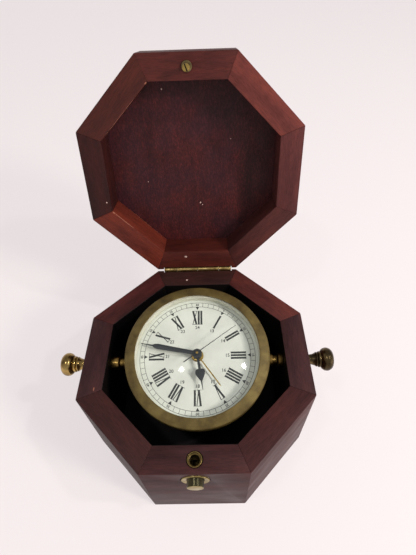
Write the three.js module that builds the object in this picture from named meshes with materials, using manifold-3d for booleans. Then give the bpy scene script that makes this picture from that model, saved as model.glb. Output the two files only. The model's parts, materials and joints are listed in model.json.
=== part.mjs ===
// A ship's deck clock: a brass alarm clock on side pivots in an octagonal mahogany box with a hinged lid.
// Millimetres, +Z up. X runs to the right, Y from the latch at the front to the hinge at the back.
// The origin is the centre of the felt pad's underside. The lid stands open and the clock leans forward.
import * as THREE from 'three';
import { mergeVertices } from 'three/addons/utils/BufferGeometryUtils.js';
import Module from 'manifold-3d';

const wasm = await Module();
wasm.setup();

// ---- driving dimensions ----
const GAP = 0.3; // clearance between neighbouring pieces
const EIGHTH = Math.PI / 4; // the turn from one stave to the next
const QUARTER = Math.PI / 2;

const BOX_APOTHEM = 76; // centre to outer face: 152 mm across the flats
const FELT_THICKNESS = 1.2;
const FELT_APOTHEM = 72;
const BASE_BOTTOM = FELT_THICKNESS + GAP;
const BASE_HEIGHT = 75.7;
const BASE_WALL = 15.9;
const FLOOR_THICKNESS = 6.5;
const RIM_Z = BASE_BOTTOM + BASE_HEIGHT;

const LID_HEIGHT = 25.7;
const LID_WALL = 15.7;
const LID_DEPTH = 22.05; // from the mating face to the panel
const LID_OPEN = THREE.MathUtils.degToRad(106.8);

const HINGE_Y = BOX_APOTHEM + 0.66;
const HINGE_Z = RIM_Z + 0.4;
const HINGE_X = 0.5;
const KNUCKLE_LENGTHS = [10, 16.8, 16.8, 10]; // base, lid, base, lid
const BARREL_RADIUS = 1.95;
const BARREL_BORE = 1.1;
const HINGE_PIN_RADIUS = 0.8;
const LEAF_THICKNESS = 1.0;
const LEAF_WIDTH = 17; // from the axis to the leaf's free edge
const LEAF_POCKET = 0.14; // how deep the leaf is let into the wood
const SCREW_SPACING = 34;
const SCREW_ROW = 9.5; // from the hinge axis
const SCREW_LENGTH = 9;
const SCREW_HEAD_RADIUS = 2.0;
const SCREW_SHANK_RADIUS = 1.0;

const LATCH_Y = 68.2; // centre of the socket, from the box's centre
const LATCH_Z = 65.5; // axis of the push button
const BUTTON_RADIUS = 5.0;
const BUTTON_PROUD = 4.55;
const BUTTON_TRAVEL = 2.7;
const CUP_RADIUS = 8.3;
const CUP_PROUD = 0.6;
const BARREL_OUTER = 6.7; // latch barrel
const PIN_DEPTH = BOX_APOTHEM - LATCH_Y; // the catch pin's axis, from the box's front face
const PIN_LENGTH = 12;
const PIN_HEAD = { radius: 2.3, height: 2.7 };
const PIN_CLEARANCE = 0.5; // room for the head as the lid swings shut
const PIN_NECK_RADIUS = 1.2;
const FERRULE = { outer: 4.5, mouth: 3.65, mouthDepth: 1.3, bore: 3.1 }; // the mouth takes the pin's washer

const PIVOT_Z = 65.5; // height of the pivot axis
const CLOCK_X = 1.16; // end float: the clock sits a little to the right
const TILT = THREE.MathUtils.degToRad(13.22);
const BOSS_END = 54.9; // from the clock's centre
const STUD_RADIUS = 1.8;
const STUD_END = 47.5; // how near the stud comes to the clock's centre line
const KNOB_END = 94.8;

const BEZEL_RADIUS = 47.67;
const BEZEL_OPENING = 40.82;
const DRUM_RADIUS = 44.6;
const DRUM_WALL = 1.3;
const DRUM_TOP = 20.2; // heights on the clock are from the pivot axis, along the dial's normal
const DRUM_BOTTOM = -16;
const DIAL_TOP = 14.1;
const DIAL_THICKNESS = 0.6;
const DIAL_RADIUS = 43;
const CRYSTAL_RISE = 7.7;
const CRYSTAL_DOME_RADIUS = 40.5;
const CRYSTAL_THICKNESS = 1.3;
const MOVEMENT_SIZE = 56;
const MOVEMENT_BACK = -5;
const COVER_WINDOW_RADIUS = 29;

// ---- materials ----
const finish = (color, roughness, metalness) =>
  new THREE.MeshStandardMaterial({ color, roughness, metalness });
const mahogany = finish(0x4e2722, 0.35, 0);
const panelMahogany = finish(0x43211f, 0.4, 0);
const felt = finish(0x23382c, 0.95, 0);
const agedBrass = finish(0x80693a, 0.35, 1);
const brightBrass = finish(0xb08a3e, 0.25, 1);
const steel = finish(0x8b8d90, 0.35, 1);
const glass = finish(0xdfe8ea, 0.03, 0);
glass.transparent = true;
glass.opacity = 0.2;
const whiteEnamel = finish(0xdcdcd0, 0.4, 0);
const blackEnamel = finish(0x2e3230, 0.4, 0.2);
const blackPlastic = finish(0x1c1d1f, 0.5, 0);
const batteryLabel = finish(0x2f5c8a, 0.4, 0.1);

// ---- geometry helpers ----
// Merges shared vertices and drops the flat triangles that a profile leaves on its axis.
function weld(geometry) {
  const plain = new THREE.BufferGeometry();
  plain.setAttribute('position', geometry.getAttribute('position'));
  if (geometry.index) plain.setIndex(geometry.index);
  const merged = mergeVertices(plain, 1e-4);
  const kept = [];
  for (let i = 0; i < merged.index.count; i += 3) {
    const [a, b, c] = [0, 1, 2].map((step) => merged.index.getX(i + step));
    if (a !== b && b !== c && c !== a) kept.push(a, b, c);
  }
  merged.setIndex(kept);
  return merged;
}

function toSolid(geometry) {
  const welded = weld(geometry);
  const vertProperties = new Float32Array(welded.getAttribute('position').array);
  const triVerts = new Uint32Array(welded.index.array);
  return new wasm.Manifold(new wasm.Mesh({ numProp: 3, vertProperties, triVerts }));
}

function toGeometry(solid) {
  const { vertProperties, triVerts } = solid.getMesh();
  const geometry = new THREE.BufferGeometry();
  geometry.setAttribute('position', new THREE.BufferAttribute(vertProperties, 3));
  geometry.setIndex(new THREE.BufferAttribute(triVerts, 1));
  return geometry;
}

function cut(geometry, ...tools) {
  return toGeometry(tools.reduce((left, tool) => left.subtract(toSolid(tool)), toSolid(geometry)));
}

function join(geometry, ...others) {
  return toGeometry(others.reduce((left, other) => left.add(toSolid(other)), toSolid(geometry)));
}

// Turns a closed profile of [radius, height] points round the Z axis.
function revolve(profile, segments = 40) {
  const points = profile.map(([radius, height]) => new THREE.Vector2(radius, height));
  if (THREE.ShapeUtils.area(points) < 0) points.reverse();
  return new THREE.LatheGeometry([...points, points[0]], segments).rotateX(QUARTER);
}

// A round bar along Z from one height to another.
function bar(radius, from, to, segments = 16, endRadius = radius) {
  const geometry = new THREE.CylinderGeometry(endRadius, radius, to - from, segments);
  return geometry.rotateX(QUARTER).translate(0, 0, (from + to) / 2);
}

// A block between two corners.
function block([x0, y0, z0], [x1, y1, z1]) {
  const geometry = new THREE.BoxGeometry(x1 - x0, y1 - y0, z1 - z0);
  return geometry.translate((x0 + x1) / 2, (y0 + y1) / 2, (z0 + z1) / 2);
}

const ontoX = (geometry, side) => geometry.rotateY(side * QUARTER); // +Z becomes side * X
const ontoY = (geometry) => geometry.rotateX(-QUARTER); // +Z becomes +Y

// An outline of [x, y] points, extruded along Z.
function prism(outline, from, to) {
  const shape = new THREE.Shape(outline.map(([x, y]) => new THREE.Vector2(x, y)));
  const geometry = new THREE.ExtrudeGeometry(shape, { depth: to - from, bevelEnabled: false });
  return geometry.translate(0, 0, from);
}

function octagon(apothem) {
  const corner = apothem / Math.cos(EIGHTH / 2);
  const angles = Array.from({ length: 8 }, (_, side) => (side + 0.5) * EIGHTH);
  return angles.map((angle) => [corner * Math.cos(angle), corner * Math.sin(angle)]);
}

function part(parent, name, geometry, material) {
  const mesh = new THREE.Mesh(weld(geometry), material);
  mesh.geometry.computeVertexNormals();
  mesh.name = name;
  parent.add(mesh);
  return mesh;
}

// ---- the staves of the base and the lid ----
const SIDES = ['back', 'back_left', 'left', 'front_left', 'front', 'front_right', 'right', 'back_right'];

// One mitred stave, its outer face towards +Y, standing on Z = 0.
function staveBlank(wall, height) {
  const halfAt = (distance) => distance * Math.tan(EIGHTH / 2) - GAP / 2 / Math.cos(EIGHTH / 2);
  const inner = BOX_APOTHEM - wall;
  const outerHalf = halfAt(BOX_APOTHEM);
  const innerHalf = halfAt(inner);
  const outline = [
    [-outerHalf, BOX_APOTHEM], [-innerHalf, inner], [innerHalf, inner], [outerHalf, BOX_APOTHEM],
  ];
  return prism(outline, 0, height);
}

// Pocket, barrel groove and screw holes of one hinge leaf, for wood on the given side of the axis (+1 up).
function hingeCutters(axisZ, side) {
  const halfLength = KNUCKLE_LENGTHS.reduce((sum, length) => sum + length, 0) / 2 + GAP;
  const groove = ontoX(bar(BARREL_RADIUS + 0.35, -halfLength, halfLength), 1);
  groove.translate(HINGE_X, HINGE_Y, axisZ);
  const [low, high] = side > 0 ? [-1, LEAF_WIDTH + GAP] : [-LEAF_WIDTH - GAP, 1];
  const pocketFace = BOX_APOTHEM - LEAF_POCKET;
  const pocket = block(
    [HINGE_X - halfLength, pocketFace, axisZ + low],
    [HINGE_X + halfLength, BOX_APOTHEM + 1, axisZ + high],
  );
  const holes = [-1, 1].map((end) => {
    const hole = ontoY(bar(SCREW_SHANK_RADIUS + 0.35, -SCREW_LENGTH - 0.5, 1, 12));
    return hole.translate(HINGE_X + (end * SCREW_SPACING) / 2, HINGE_Y, axisZ + side * SCREW_ROW);
  });
  return [groove, pocket, ...holes];
}

// Cutters for the front stave, in the blank's own frame, where the outer face is at +Y.
function latchCutters() {
  const z = LATCH_Z - BASE_BOTTOM;
  const through = ontoY(bar(BARREL_OUTER + GAP, BOX_APOTHEM - BASE_WALL - 1, BOX_APOTHEM + 1, 24));
  const countersink = ontoY(bar(CUP_RADIUS + GAP, BOX_APOTHEM - 1.8, BOX_APOTHEM + 1, 24));
  const socket = bar(FERRULE.outer + GAP, z, BASE_HEIGHT + 1, 24).translate(0, LATCH_Y, 0);
  return [through.translate(0, 0, z), countersink.translate(0, 0, z), socket];
}

function bushCutter() {
  const bore = ontoY(bar(3.9, BOX_APOTHEM - BASE_WALL - 1, BOX_APOTHEM + 1));
  return bore.translate(0, 0, PIVOT_Z - BASE_BOTTOM);
}

function buildStaves(parent, prefix, wall, height, cutters) {
  SIDES.forEach((side, index) => {
    const blank = staveBlank(wall, height);
    const tools = cutters[side] ?? [];
    const finished = tools.length ? cut(blank, ...tools) : blank;
    const stave = part(parent, `${prefix}_stave_${side}`, finished, mahogany);
    stave.rotation.z = index * EIGHTH;
  });
}

function buildBase(root) {
  const base = new THREE.Group();
  base.position.z = BASE_BOTTOM;
  root.add(base);
  buildStaves(base, 'base', BASE_WALL, BASE_HEIGHT, {
    back: hingeCutters(HINGE_Z - BASE_BOTTOM, -1),
    front: latchCutters(),
    left: [bushCutter()],
    right: [bushCutter()],
  });
  const floorOutline = octagon(BOX_APOTHEM - BASE_WALL - GAP);
  part(base, 'base_floor', prism(floorOutline, 0, FLOOR_THICKNESS), panelMahogany);
  part(root, 'base_felt', prism(octagon(FELT_APOTHEM), 0, FELT_THICKNESS), felt);
}

// ---- hinge, in a frame whose X axis is the hinge axis ----
function hingeLeaf(side, ownKnuckles) {
  const total = KNUCKLE_LENGTHS.reduce((sum, length) => sum + length, 0);
  const clear = BARREL_RADIUS + 0.4;
  const half = LEAF_THICKNESS / 2;
  const [near, far] = [side * clear, side * LEAF_WIDTH].sort((a, b) => a - b);
  const plate = block([-total / 2, -half, near], [total / 2, half, far]);
  const pieces = [];
  let start = -total / 2;
  KNUCKLE_LENGTHS.forEach((length, index) => {
    const [from, to] = [start + GAP / 2, start + length - GAP / 2];
    start += length;
    if (!ownKnuckles.includes(index)) return;
    const [low, high] = [0, side * (clear + 0.5)].sort((a, b) => a - b);
    pieces.push(ontoX(bar(BARREL_RADIUS, from, to), 1), block([from, -half, low], [to, half, high]));
  });
  const bore = ontoX(bar(BARREL_BORE, -total, total, 16), 1);
  const sinks = [-1, 1].map((end) => {
    const sink = ontoY(bar(SCREW_SHANK_RADIUS + 0.3, -half - 0.01, half + 0.01, 16, SCREW_HEAD_RADIUS + 0.3));
    return sink.translate((end * SCREW_SPACING) / 2, 0, side * SCREW_ROW);
  });
  return cut(join(plate, ...pieces), bore, ...sinks);
}

// A countersunk wood screw along Y, its slotted head at the leaf's outer face.
function hingeScrew() {
  const face = LEAF_THICKNESS / 2;
  const profile = [
    [0, -SCREW_LENGTH], [SCREW_SHANK_RADIUS, -SCREW_LENGTH + 2], [SCREW_SHANK_RADIUS, -face],
    [SCREW_HEAD_RADIUS, face], [0, face],
  ];
  const slot = block([-0.3, face - 0.5, -3], [0.3, face + 1, 3]);
  return cut(ontoY(revolve(profile, 12)), slot);
}

function buildHingeSide(parent, owner, side, knuckles) {
  const frame = new THREE.Group();
  frame.position.x = HINGE_X;
  parent.add(frame);
  part(frame, `hinge_leaf_${owner}`, hingeLeaf(side, knuckles), brightBrass);
  for (const [label, end] of [['left', -1], ['right', 1]]) {
    const screw = part(frame, `hinge_screw_${owner}_${label}`, hingeScrew(), brightBrass);
    screw.position.set((end * SCREW_SPACING) / 2, 0, side * SCREW_ROW);
  }
  return frame;
}

// ---- lid, in a frame on the hinge axis, drawn closed and then swung open ----
function catchPin() {
  const neckEnd = -PIN_LENGTH + PIN_HEAD.height;
  const embedded = 8;
  const profile = [
    [0, -PIN_LENGTH], [PIN_HEAD.radius - 0.4, -PIN_LENGTH], [PIN_HEAD.radius, -PIN_LENGTH + 0.5],
    [PIN_HEAD.radius, neckEnd], [PIN_NECK_RADIUS, neckEnd], [PIN_NECK_RADIUS, embedded], [0, embedded],
  ];
  const slot = block([-0.4, -3, -PIN_LENGTH - 1], [0.4, 3, -PIN_LENGTH + 0.9]).rotateZ(-0.35);
  return cut(revolve(profile, 16), slot);
}

function buildLid(root) {
  const lid = new THREE.Group();
  lid.position.set(0, HINGE_Y, HINGE_Z);
  lid.rotation.x = -LID_OPEN;
  root.add(lid);
  const shell = new THREE.Group();
  shell.position.y = -HINGE_Y;
  lid.add(shell);
  const pinHole = bar(PIN_NECK_RADIUS + 0.35, -1, 9, 16).translate(0, LATCH_Y, 0);
  buildStaves(shell, 'lid', LID_WALL, LID_HEIGHT, { back: hingeCutters(0, 1), front: [pinHole] });
  const panelOutline = octagon(BOX_APOTHEM - LID_WALL - GAP);
  part(shell, 'lid_panel', prism(panelOutline, LID_DEPTH, LID_HEIGHT), panelMahogany);
  const pin = part(shell, 'catch_pin', catchPin(), brightBrass);
  pin.position.y = -LATCH_Y;
  const [washerBore, washerRadius] = [PIN_NECK_RADIUS + 0.35, FERRULE.mouth - 0.35];
  const washerProfile = [
    [washerBore, -1.2], [washerRadius - 0.3, -1.2], [washerRadius, -0.9],
    [washerRadius, -GAP], [washerBore, -GAP],
  ];
  const washer = part(shell, 'catch_washer', revolve(washerProfile, 20), brightBrass);
  washer.position.y = -LATCH_Y;
  buildHingeSide(lid, 'lid', 1, [1, 3]);
}

function buildHinge(root) {
  const axis = new THREE.Group();
  axis.position.set(0, HINGE_Y, HINGE_Z);
  root.add(axis);
  const frame = buildHingeSide(axis, 'base', -1, [0, 2]);
  const halfLength = KNUCKLE_LENGTHS.reduce((sum, length) => sum + length, 0) / 2;
  part(frame, 'hinge_pin', ontoX(bar(HINGE_PIN_RADIUS, -halfLength, halfLength, 12), 1), steel);
}

// ---- latch, in a frame at the box's front face with +Z of each profile pointing into the wood ----
class Helix extends THREE.Curve {
  constructor(radius, from, to, turns) {
    super();
    Object.assign(this, { radius, from, to, turns });
  }

  getPoint(t, target = new THREE.Vector3()) {
    const angle = t * this.turns * 2 * Math.PI;
    const height = this.from + t * (this.to - this.from);
    return target.set(this.radius * Math.cos(angle), this.radius * Math.sin(angle), height);
  }
}

function coilSpring(radius, from, to, turns, wireRadius) {
  const wire = new THREE.Shape().absarc(0, 0, wireRadius, 0, 2 * Math.PI);
  const extrudePath = new Helix(radius, from, to, turns);
  return new THREE.ExtrudeGeometry(wire, { steps: Math.round(turns * 12), curveSegments: 2, extrudePath });
}

// The push button is also the bolt: the catch pin's head sits in its chamber, under a keyhole.
function latchButton() {
  const shoulder = 1.8;
  const end = 11.1;
  const flange = BUTTON_RADIUS + 0.7;
  const profile = [
    [0, -BUTTON_PROUD], [BUTTON_RADIUS - 0.5, -BUTTON_PROUD], [BUTTON_RADIUS, -BUTTON_PROUD + 0.4],
    [BUTTON_RADIUS, shoulder], [flange, shoulder], [flange, end], [0, end],
  ];
  const headClear = PIN_HEAD.radius + PIN_CLEARANCE;
  const chamberTop = HINGE_Z - PIN_LENGTH + PIN_HEAD.height + 0.35 - LATCH_Z;
  const chamberFloor = HINGE_Z - PIN_LENGTH - 0.35 - LATCH_Z;
  const chamber = block(
    [-headClear, PIN_DEPTH - headClear - BUTTON_TRAVEL, chamberFloor],
    [headClear, PIN_DEPTH + headClear, chamberTop],
  );
  const keyhole = bar(headClear, chamberTop - 0.5, flange + 1).translate(0, PIN_DEPTH - BUTTON_TRAVEL, 0);
  const slotHalf = PIN_NECK_RADIUS + 0.35;
  const slot = block(
    [-slotHalf, PIN_DEPTH - BUTTON_TRAVEL, chamberTop - 0.5],
    [slotHalf, PIN_DEPTH + slotHalf, flange + 1],
  );
  return cut(ontoY(revolve(profile, 24)), chamber, keyhole, slot);
}

function buildLatch(root) {
  const latch = new THREE.Group();
  latch.position.set(0, -BOX_APOTHEM, LATCH_Z);
  root.add(latch);
  const aperture = BUTTON_RADIUS + 0.35;
  const cupProfile = [
    [CUP_RADIUS, -CUP_PROUD / 2], [CUP_RADIUS, 1.5], [aperture, 1.5], [aperture, -CUP_PROUD / 2],
    [CUP_RADIUS - 0.6, -CUP_PROUD],
  ];
  part(latch, 'latch_cup', ontoY(revolve(cupProfile, 24)), brightBrass);

  const bore = BARREL_OUTER - 0.65;
  const [mouth, back] = [1.8, BASE_WALL];
  const barrelProfile = [
    [BARREL_OUTER, mouth], [BARREL_OUTER, back], [0, back], [0, back - 0.8], [bore, back - 0.8], [bore, mouth],
  ];
  const pinEntry = bar(PIN_HEAD.radius + PIN_CLEARANCE, 0, BARREL_OUTER + 1).translate(0, PIN_DEPTH, 0);
  part(latch, 'latch_barrel', cut(ontoY(revolve(barrelProfile, 24)), pinEntry), brightBrass);
  part(latch, 'latch_button', latchButton(), brightBrass);
  part(latch, 'latch_spring', ontoY(coilSpring(3.6, 11.7, 14.5, 3, 0.25)), steel);

  const [top, foot] = [RIM_Z + 0.25, LATCH_Z + BARREL_OUTER + GAP];
  const { outer, mouth: wide, mouthDepth, bore: throat } = FERRULE;
  const step = top - mouthDepth;
  const ferruleProfile = [
    [outer, foot], [outer, top - 0.35], [outer - 0.3, top], [wide + 0.2, top], [wide, top - 0.3], [wide, step],
    [throat, step - 0.3], [throat, foot],
  ];
  part(root, 'latch_ferrule', revolve(ferruleProfile, 24), brightBrass).position.y = -LATCH_Y;
}

// ---- side pivots, drawn along Z and laid along X ----
function arc(centreRadius, centreHeight, radius, from, to, steps) {
  return Array.from({ length: steps + 1 }, (_, step) => {
    const angle = THREE.MathUtils.degToRad(from + ((to - from) * step) / steps);
    return [centreRadius + radius * Math.cos(angle), centreHeight + radius * Math.sin(angle)];
  });
}

function pivotKnob() {
  const foot = BOX_APOTHEM + GAP;
  const ballCentre = 90.4;
  const rimRadius = 4.4;
  const profile = [
    [0, STUD_END], [STUD_RADIUS, STUD_END], [STUD_RADIUS, foot], [3.9, foot], [3.5, 78], [3.6, 80], [4.2, 82],
    [5.0, 83.3], [5.0, 83.7], [4.2, 84.2], [5.3, 84.7], [5.5, 85.4], [5.2, 86.1],
    ...arc(8 - rimRadius, ballCentre, rimRadius, -70, 75, 5), [0, KNOB_END],
  ];
  return revolve(profile, 20);
}

function wallBush(side) {
  const innerWall = BOX_APOTHEM - BASE_WALL;
  const headEnd = BOSS_END + side * CLOCK_X + GAP;
  const bore = STUD_RADIUS + 0.4;
  const profile = [
    [3.6, BOX_APOTHEM], [3.6, innerWall - GAP], [4.7, innerWall - GAP], [4.7, headEnd + 0.4], [4.3, headEnd],
    [bore, headEnd], [bore, BOX_APOTHEM],
  ];
  return revolve(profile, 16);
}

function pivotBoss() {
  const bore = STUD_RADIUS + 0.35;
  const profile = [
    [4.5, DRUM_RADIUS + GAP], [4.5, 51.6], [4.1, 52], [3.4, 52], [3.4, BOSS_END - 0.4], [3.1, BOSS_END],
    [bore, BOSS_END], [bore, DRUM_RADIUS + 1], [0, DRUM_RADIUS + 1], [0, DRUM_RADIUS + GAP],
  ];
  return revolve(profile, 16);
}

function buildPivots(root) {
  const axis = new THREE.Group();
  axis.position.z = PIVOT_Z;
  root.add(axis);
  for (const [label, side] of [['left', -1], ['right', 1]]) {
    part(axis, `wall_bush_${label}`, ontoX(wallBush(side), side), agedBrass);
    part(axis, `pivot_knob_${label}`, ontoX(pivotKnob(), side), agedBrass);
  }
}

// ---- clock head, in a frame on the pivot axis with Z along the dial's normal ----
function bezel() {
  const skirt = DRUM_RADIUS + 0.35;
  const lipUnder = 22.1;
  return revolve([
    [BEZEL_RADIUS, 13.8], [BEZEL_RADIUS, 20.4], [BEZEL_RADIUS - 0.7, 21.3], [41.4, 22.85],
    [BEZEL_OPENING, 22.6], [BEZEL_OPENING, lipUnder], [43.8, lipUnder], [skirt, DRUM_TOP], [skirt, 13.8],
  ], 48);
}

// A dome's profile from its axis out to the flat flange.
function dome(flangeHeight, rise, steps) {
  const sphere = (CRYSTAL_DOME_RADIUS ** 2 + rise ** 2) / (2 * rise);
  return Array.from({ length: steps + 1 }, (_, step) => {
    const radius = (CRYSTAL_DOME_RADIUS * step) / steps;
    return [radius, flangeHeight + rise - sphere + Math.sqrt(sphere ** 2 - radius ** 2)];
  });
}

function crystal() {
  const flange = DRUM_TOP + GAP;
  const edge = DRUM_RADIUS - 1.2;
  const upper = dome(flange + CRYSTAL_THICKNESS, CRYSTAL_RISE, 4);
  const lower = dome(flange, CRYSTAL_RISE, 4);
  return revolve([...lower, [edge, flange], [edge, flange + CRYSTAL_THICKNESS], ...upper.reverse()]);
}

function drum() {
  const inner = DRUM_RADIUS - DRUM_WALL;
  const ledge = DIAL_TOP - DIAL_THICKNESS - GAP;
  return revolve([
    [DRUM_RADIUS, DRUM_TOP], [inner, DRUM_TOP], [inner, ledge], [41.3, ledge], [41.3, ledge - 0.8],
    [inner, ledge - 0.8], [inner, DRUM_BOTTOM + 1], [39.5, DRUM_BOTTOM + 1], [39.5, DRUM_BOTTOM],
    [DRUM_RADIUS, DRUM_BOTTOM],
  ]);
}

const COVER_SCREW_RADIUS = 42;
const COVER_SCREW_ANGLES = [90, 210, 330].map(THREE.MathUtils.degToRad);

function aroundCover(geometryOf) {
  return COVER_SCREW_ANGLES.map((angle) =>
    geometryOf().translate(COVER_SCREW_RADIUS * Math.cos(angle), COVER_SCREW_RADIUS * Math.sin(angle), 0),
  );
}

function drilledDrum() {
  return cut(drum(), ...aroundCover(() => bar(1.25, DRUM_BOTTOM - 1, DRUM_BOTTOM + 2, 10)));
}

function backCover() {
  const [low, high] = [DRUM_BOTTOM - GAP - 1.5, DRUM_BOTTOM - GAP];
  const profile = [
    [DRUM_RADIUS - 0.6, low], [DRUM_RADIUS, low + 0.6], [DRUM_RADIUS, high],
    [COVER_WINDOW_RADIUS, high], [COVER_WINDOW_RADIUS, low],
  ];
  return cut(revolve(profile), ...aroundCover(() => bar(1.25, low - 1, high + 1, 10)));
}

function coverScrew() {
  const seat = DRUM_BOTTOM - GAP * 2 - 1.5;
  const profile = [
    [0, seat - 1.3], [1.4, seat - 1.3], [1.9, seat - 0.7], [1.9, seat],
    [0.9, seat], [0.9, -12.5], [0, -12.5],
  ];
  const slot = block([-0.25, -3, seat - 2], [0.25, 3, seat - 0.8]);
  return cut(revolve(profile, 12), slot);
}

const BATTERY = { radius: 7.1, length: 50.5, y: -18, height: 3 };
const TIME_KNOB = { x: -10, y: 11, radius: 6.5 };
const ALARM_KNOB = { x: 12, y: 8, radius: 5.5 };
const SWITCH = { x: 8, y: 22.5 };
const TUBE_BORE = 2.65;

function movement() {
  const half = MOVEMENT_SIZE / 2;
  const corner = 6;
  const top = DIAL_TOP - DIAL_THICKNESS - GAP;
  const outline = new THREE.Shape();
  outline.absarc(half - corner, half - corner, corner, 0, QUARTER);
  outline.absarc(corner - half, half - corner, corner, QUARTER, 2 * QUARTER);
  outline.absarc(corner - half, corner - half, corner, 2 * QUARTER, 3 * QUARTER);
  outline.absarc(half - corner, corner - half, corner, 3 * QUARTER, 4 * QUARTER);
  const depth = top - MOVEMENT_BACK;
  const box = new THREE.ExtrudeGeometry(outline, { depth, bevelEnabled: false, curveSegments: 4 });
  box.translate(0, 0, MOVEMENT_BACK);
  const clear = BATTERY.radius + 0.4;
  const bayHalf = BATTERY.length / 2 + 0.6;
  const bay = block(
    [-bayHalf, BATTERY.y - clear, MOVEMENT_BACK - 1],
    [bayHalf, BATTERY.y + clear, BATTERY.height + clear],
  );
  const shaftHole = ({ x, y }) => bar(1.6, MOVEMENT_BACK - 1, MOVEMENT_BACK + 5, 16).translate(x, y, 0);
  const switchSlot = block(
    [SWITCH.x - 4, SWITCH.y - 1.4, MOVEMENT_BACK - 1],
    [SWITCH.x + 4, SWITCH.y + 1.4, MOVEMENT_BACK + 2],
  );
  const tube = bar(3.0, top - 0.5, DIAL_TOP + 1.8);
  const tubeBore = bar(TUBE_BORE, 8, DIAL_TOP + 3);
  return cut(join(box, tube), bay, shaftHole(TIME_KNOB), shaftHole(ALARM_KNOB), switchSlot, tubeBore);
}

function battery() {
  const half = BATTERY.length / 2;
  const profile = [
    [0, -half], [6.6, -half], [BATTERY.radius, -half + 0.5], [BATTERY.radius, half - 1.8],
    [6.2, half - 1.3], [2.7, half - 1.3], [2.7, half], [0, half],
  ];
  return ontoX(revolve(profile, 16), 1).translate(0, BATTERY.y, BATTERY.height);
}

// A fluted setting knob on its shaft, reached through the back cover's window.
function settingKnob({ x, y, radius }) {
  const flutes = 12;
  const outline = Array.from({ length: flutes * 2 }, (_, index) => {
    const angle = (index * Math.PI) / flutes;
    const reach = index % 2 ? radius - 0.6 : radius;
    return [reach * Math.cos(angle), reach * Math.sin(angle)];
  });
  const head = prism(outline, -14.5, -9);
  const shaft = bar(1.2, -9.5, MOVEMENT_BACK + 4, 16);
  return join(head, shaft).translate(x, y, 0);
}

function alarmSwitch() {
  const slider = block([-1.5, -1.1, -1.5], [1.5, 1.1, 1.7]);
  const ridge = block([-0.8, -1.1, -2.5], [0.8, 1.1, -1.4]);
  return join(slider, ridge).translate(SWITCH.x - 2, SWITCH.y, MOVEMENT_BACK);
}

// ---- hands, in the clock's frame, each drawn pointing to twelve ----
// An outline's right half from the hub to the tip, mirrored to the left.
function blade(half) {
  return [...half, ...half.map(([x, y]) => [-x, y]).reverse().filter(([x]) => x !== 0)];
}

// A hand: its blade and hub disc on a pipe that goes down the dial's centre.
function hand(outline, height, thickness, hubRadius, pipeRadius, boreRadius) {
  const low = DIAL_TOP + height;
  const high = low + thickness;
  const segments = 14;
  const pipe = bar(pipeRadius, 9, high, segments);
  const body = join(prism(outline, low, high), bar(hubRadius, low, high, segments), pipe);
  return boreRadius ? cut(body, bar(boreRadius, 8, high + 1, segments)) : body;
}

function spade(shoulder, widest, halfWidth, waist, tip) {
  const steps = 5;
  const flank = Array.from({ length: steps + 1 }, (_, step) => {
    const turn = (step / steps) * Math.PI;
    const reach = widest - (widest - shoulder) * Math.cos(turn / 2);
    return [0.75 + (halfWidth - 0.75) * Math.sin(turn / 2 + 0.25), reach];
  });
  return blade([
    [0.8, 0], [0.8, shoulder], ...flank,
    [halfWidth * 0.55, (widest + waist) / 2], [0.5, waist], [0.15, tip],
  ]);
}

const HANDS = {
  alarm: { angle: 143.9, height: 2.6, thickness: 0.3, hub: 3.8, pipe: 2.3, bore: 2.0 },
  hour: { angle: 171.1, height: 4.2, thickness: 0.5, hub: 3.2, pipe: 1.65, bore: 1.35 },
  minute: { angle: 281.5, height: 5.8, thickness: 0.5, hub: 3.2, pipe: 1.05, bore: 0.75 },
  seconds: { angle: 54.8, height: 7.6, thickness: 0.3, hub: 1.3, pipe: 0.42, bore: 0 },
};

const OUTLINES = {
  alarm: blade([[0.45, 0], [0.4, 24.5], [0.1, 25.7]]),
  hour: spade(10.0, 13.4, 3.2, 18, 23.8),
  minute: blade([[1.3, 0], [1.75, 26.5], [1.35, 28.8], [0.45, 30.4], [0.15, 38.2]]),
  seconds: blade([[0.3, -10.6], [0.25, 20], [0.12, 32]]),
};

function buildHands(head) {
  for (const [name, spec] of Object.entries(HANDS)) {
    const geometry = hand(OUTLINES[name], spec.height, spec.thickness, spec.hub, spec.pipe, spec.bore);
    const mesh = part(head, `${name}_hand`, geometry, name === 'alarm' ? brightBrass : blackEnamel);
    mesh.rotation.z = -THREE.MathUtils.degToRad(spec.angle);
  }
}

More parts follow.
